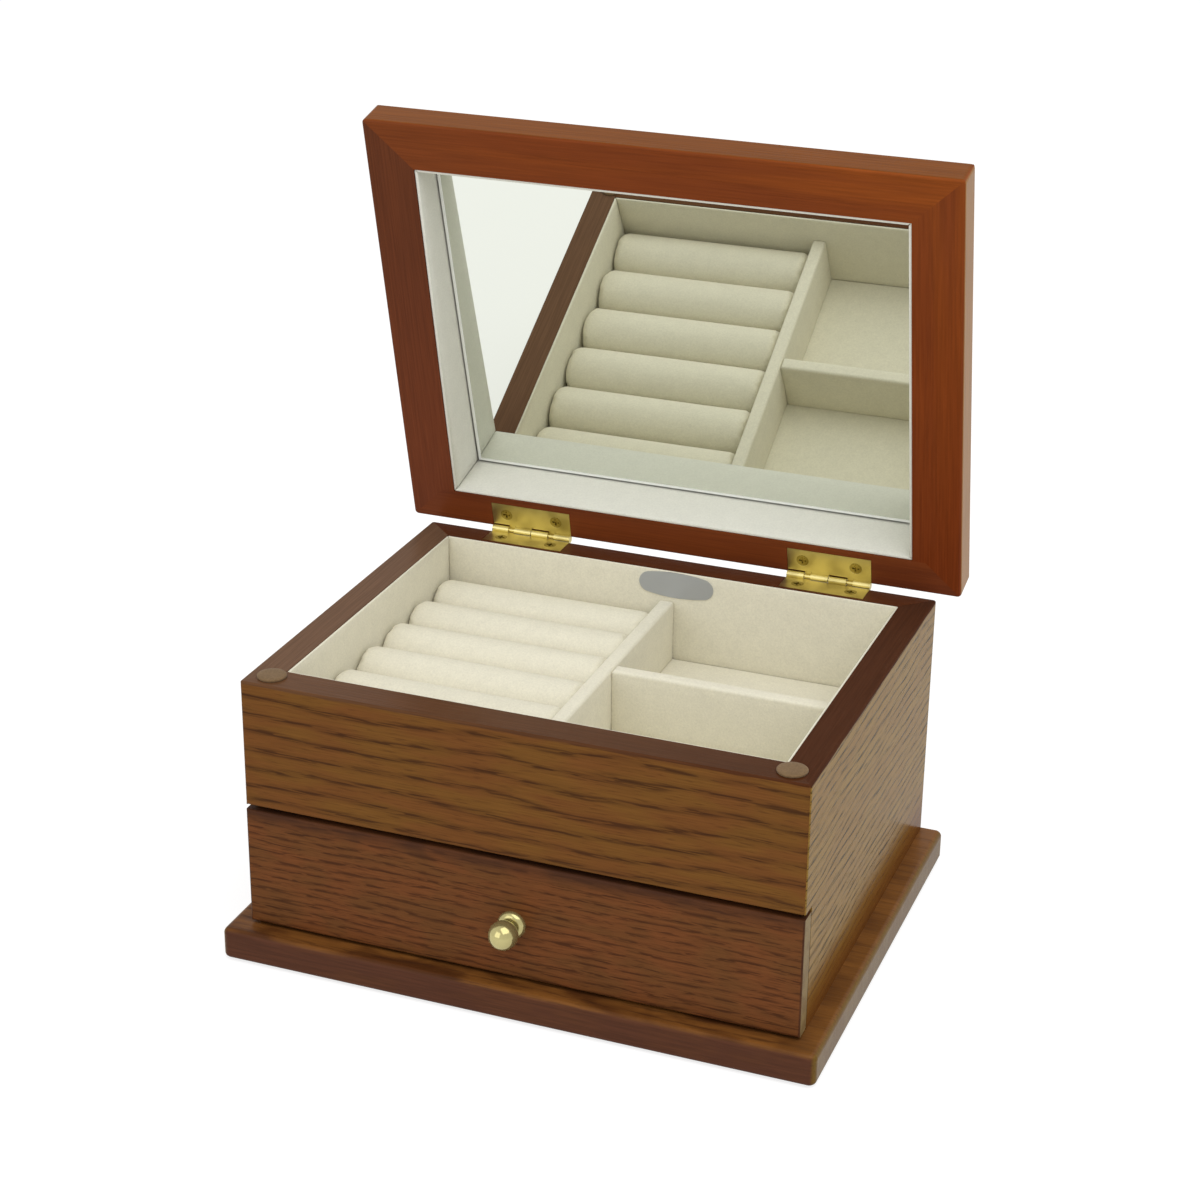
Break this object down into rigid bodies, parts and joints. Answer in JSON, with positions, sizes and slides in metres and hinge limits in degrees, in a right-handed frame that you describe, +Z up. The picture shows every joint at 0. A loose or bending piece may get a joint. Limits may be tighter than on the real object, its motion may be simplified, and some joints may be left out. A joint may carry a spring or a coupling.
{
  "type": "jewelry box",
  "caption": "Wooden jewelry box with a hinged mirrored lid over a lined tray with ring rolls, and a lined drawer below, on a plinth.",
  "frame": {"origin": "on the table, at the foot of the felt base, under the middle of the case", "axes": "+X to the right, -Y out of the drawer front, +Z up"},
  "size_m": [0.2168, 0.1942, 0.2723],
  "materials": {
    "stained_veneer_case": "satin lacquer over veneer",
    "stained_wood_lid": "satin lacquer over stain",
    "stained_veneer_drawer": "satin lacquer over veneer",
    "plain_board": "sanded",
    "cream_suede": "brushed suede cloth",
    "brown_felt": "pressed felt",
    "polished_brass": "polished",
    "zinc_plated_steel": "zinc plated",
    "mirror_glass": "silvered glass",
    "satin_label": "satin foil"
  },
  "bodies": {
    "case": {"base_felt": "brown_felt", "plinth": "stained_veneer_case", "plinth_screws": "zinc_plated_steel", "upper_front_panel": "stained_veneer_case", "back_panel": "stained_veneer_case", "side_panel_left": "stained_veneer_case", "side_panel_right": "stained_veneer_case", "tray_floor_board": "plain_board", "tray_floor_felt": "cream_suede", "long_divider": "cream_suede", "cross_divider": "cream_suede", "bumper_pads": "brown_felt", "label_plate": "satin_label", "hinge_leaf_rim_left": "polished_brass", "hinge_leaf_rim_right": "polished_brass", "hinge_pin_left": "polished_brass", "hinge_pin_right": "polished_brass", "hinge_screws_rim": "polished_brass", "tray_lining_front": "cream_suede", "tray_lining_back": "cream_suede", "tray_lining_left": "cream_suede", "tray_lining_right": "cream_suede", "ring_roll_1": "cream_suede", "ring_roll_2": "cream_suede", "ring_roll_3": "cream_suede", "ring_roll_4": "cream_suede", "ring_roll_5": "cream_suede", "ring_roll_6": "cream_suede"},
    "drawer": {"drawer_front": "stained_veneer_drawer", "drawer_side_left": "plain_board", "drawer_side_right": "plain_board", "drawer_back": "plain_board", "drawer_bottom": "plain_board", "drawer_floor_felt": "cream_suede", "drawer_knob": "polished_brass", "knob_screw": "zinc_plated_steel", "drawer_lining_front": "cream_suede", "drawer_lining_back": "cream_suede", "drawer_lining_left": "cream_suede", "drawer_lining_right": "cream_suede"},
    "lid": {"lid_front_rail": "stained_wood_lid", "lid_hinge_rail": "stained_wood_lid", "lid_stile_left": "stained_wood_lid", "lid_stile_right": "stained_wood_lid", "lid_top_panel": "stained_wood_lid", "mirror": "mirror_glass", "mirror_backing": "plain_board", "hinge_leaf_lid_left": "polished_brass", "hinge_leaf_lid_right": "polished_brass", "hinge_screws_lid": "polished_brass", "lid_lining_front": "cream_suede", "lid_lining_back": "cream_suede", "lid_lining_left": "cream_suede", "lid_lining_right": "cream_suede"}
  },
  "joints": [
    {"name": "lid_hinge", "type": "hinge", "parent": "case", "child": "lid", "pos_m": [0, 0.07945, 0.10645], "axis": [-1, 0, 0], "range_deg": [-76.9, 18.1]},
    {"name": "drawer_slide", "type": "slide", "parent": "case", "child": "drawer", "axis": [0, -1, 0], "range_m": [0, 0.105]}
  ]
}
